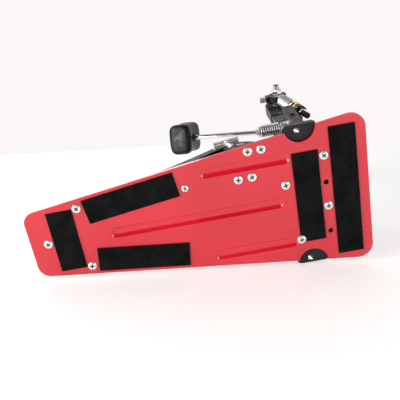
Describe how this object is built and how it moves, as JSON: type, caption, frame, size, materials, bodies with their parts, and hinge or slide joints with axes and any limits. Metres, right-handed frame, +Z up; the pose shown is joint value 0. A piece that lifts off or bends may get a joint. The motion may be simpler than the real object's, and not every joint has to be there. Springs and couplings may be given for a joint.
{
  "type": "bass drum pedal",
  "caption": "Longboard kick pedal: tapered base plate, heel-hinged footboard, direct-drive link, cross axle on two posts, two-sided beater, side return spring and hoop clamp.",
  "frame": {"origin": "centre of the base plate's length and width, on the plane of the strips' lower faces", "axes": "+X to the player's right, +Y towards the drum, +Z up from the floor"},
  "size_m": [0.1602, 0.35, 0.245],
  "materials": {
    "red_paint": "gloss",
    "hook_loop": "matt pile",
    "zinc": "bright zinc",
    "steel": "satin",
    "chrome": "polished",
    "black_paint": "satin",
    "cast_grey": "satin",
    "brass": "satin",
    "black_plastic": "satin",
    "nylon": "satin",
    "rubber": "matt",
    "felt": "dense felt"
  },
  "bodies": {
    "base": {"base_plate": "red_paint", "cross_strips": "hook_loop", "side_strips": "hook_loop", "base_screws": "zinc", "clip_screw": "steel", "heel_plate": "cast_grey", "hinge_pin": "steel", "spring_plug": "brass", "spring_lock_nut": "brass", "tension_rod": "chrome", "tension_cap": "rubber", "tension_bracket": "black_paint", "bracket_bolts": "black_paint", "screw_barrel": "steel", "anchor_bolt": "chrome", "anchor_spring": "chrome", "anchor_sleeve": "steel", "right_post": "cast_grey", "right_housing": "black_paint", "left_post": "cast_grey", "left_housing": "black_paint", "outer_races": "steel", "bearing_balls": "steel", "post_bridge": "black_paint", "clamp_bracket": "black_paint", "clamp_base": "black_paint", "clamp_pin": "steel", "hoop_pad": "rubber", "key_clip": "black_plastic", "return_spring": "chrome"},
    "board": {"footboard": "black_paint", "hinge_bushes": "nylon", "grip_ribs": "cast_grey", "toe_clevis": "black_paint", "toe_pin": "steel", "toe_pin_clips": "steel"},
    "link": {"drive_link": "black_paint", "link_bush": "nylon"},
    "axle": {"axle_shaft": "steel", "axle_end_collar": "black_paint", "rocker_nut": "chrome", "drive_arm": "black_paint", "arm_pin": "steel", "arm_washers": "steel", "beater_hub": "black_paint", "spring_rocker": "black_paint", "rocker_pin": "steel", "key_bolts": "chrome", "inner_races": "steel"},
    "beater_rod": {"beater_shaft": "chrome"},
    "beater_head": {"beater_core": "black_plastic", "beater_felt_face": "felt", "beater_hard_face": "black_plastic"},
    "adjuster": {"tension_nut": "chrome"},
    "spur_right": {"right_spur": "chrome"},
    "spur_left": {"left_spur": "chrome"},
    "hand_screw": {"t_screw": "chrome"},
    "jaw": {"clamp_jaw": "black_paint", "jaw_pad": "rubber"},
    "push_bar": {"clamp_push_bar": "steel"}
  },
  "joints": [
    {"name": "board_press", "type": "hinge", "parent": "base", "child": "board", "pos_m": [0, -0.112, 0.0185], "axis": [-1, 0, 0], "range_deg": [0, 7.4]},
    {"name": "axle_turn", "type": "hinge", "parent": "base", "child": "axle", "pos_m": [0, 0.116, 0.165], "axis": [-1, 0, 0], "range_deg": [0, 71.3], "stiffness_Nm_per_rad": 0.6, "springref_deg": -51.57, "deforming": ["return_spring"]},
    {"name": "link_swing", "type": "hinge", "parent": "board", "child": "link", "pos_m": [0, 0.135, 0.097], "axis": [-1, 0, 0], "range_deg": [-13, 0]},
    {"name": "beater_height", "type": "slide", "parent": "axle", "child": "beater_rod", "axis": [0, -0.9472, 0.3206], "range_m": [-0.01, 0.008]},
    {"name": "beater_turn", "type": "hinge", "parent": "beater_rod", "child": "beater_head", "pos_m": [0.0155, -0.00557, 0.21629], "axis": [0, -0.9472, 0.3206], "range_deg": [0, 180]},
    {"name": "tension_turn", "type": "hinge", "parent": "base", "child": "adjuster", "pos_m": [0.063, 0.13014, 0.08457], "axis": [0, 0.1908, -0.9816], "range_deg": [0, 180]},
    {"name": "spur_right_drop", "type": "slide", "parent": "base", "child": "spur_right", "axis": [0, 0.2419, -0.9703], "range_m": [-0.004, 0.004]},
    {"name": "spur_left_drop", "type": "slide", "parent": "base", "child": "spur_left", "axis": [0, 0.2419, -0.9703], "range_m": [-0.004, 0.004]},
    {"name": "jaw_close", "type": "hinge", "parent": "base", "child": "jaw", "pos_m": [0, 0.134, 0.016], "axis": [-1, 0, 0], "range_deg": [0, 9]},
    {"name": "screw_turn", "type": "hinge", "parent": "base", "child": "hand_screw", "pos_m": [0.057, 0.04, 0.0485], "axis": [0, -0.2924, 0.9563], "range_deg": [0, 360]},
    {"name": "bar_push", "type": "slide", "parent": "base", "child": "push_bar", "axis": [0, 1, 0], "range_m": [0, 0.0012]}
  ],
  "couplings": [
    {"joint": "axle_turn", "follows": "board_press", "ratio": 9.6351},
    {"joint": "link_swing", "follows": "board_press", "ratio": -1.7162},
    {"joint": "screw_turn", "follows": "jaw_close", "ratio": 39.99},
    {"joint": "bar_push", "follows": "jaw_close", "m_per_rad": 0.0066}
  ]
}
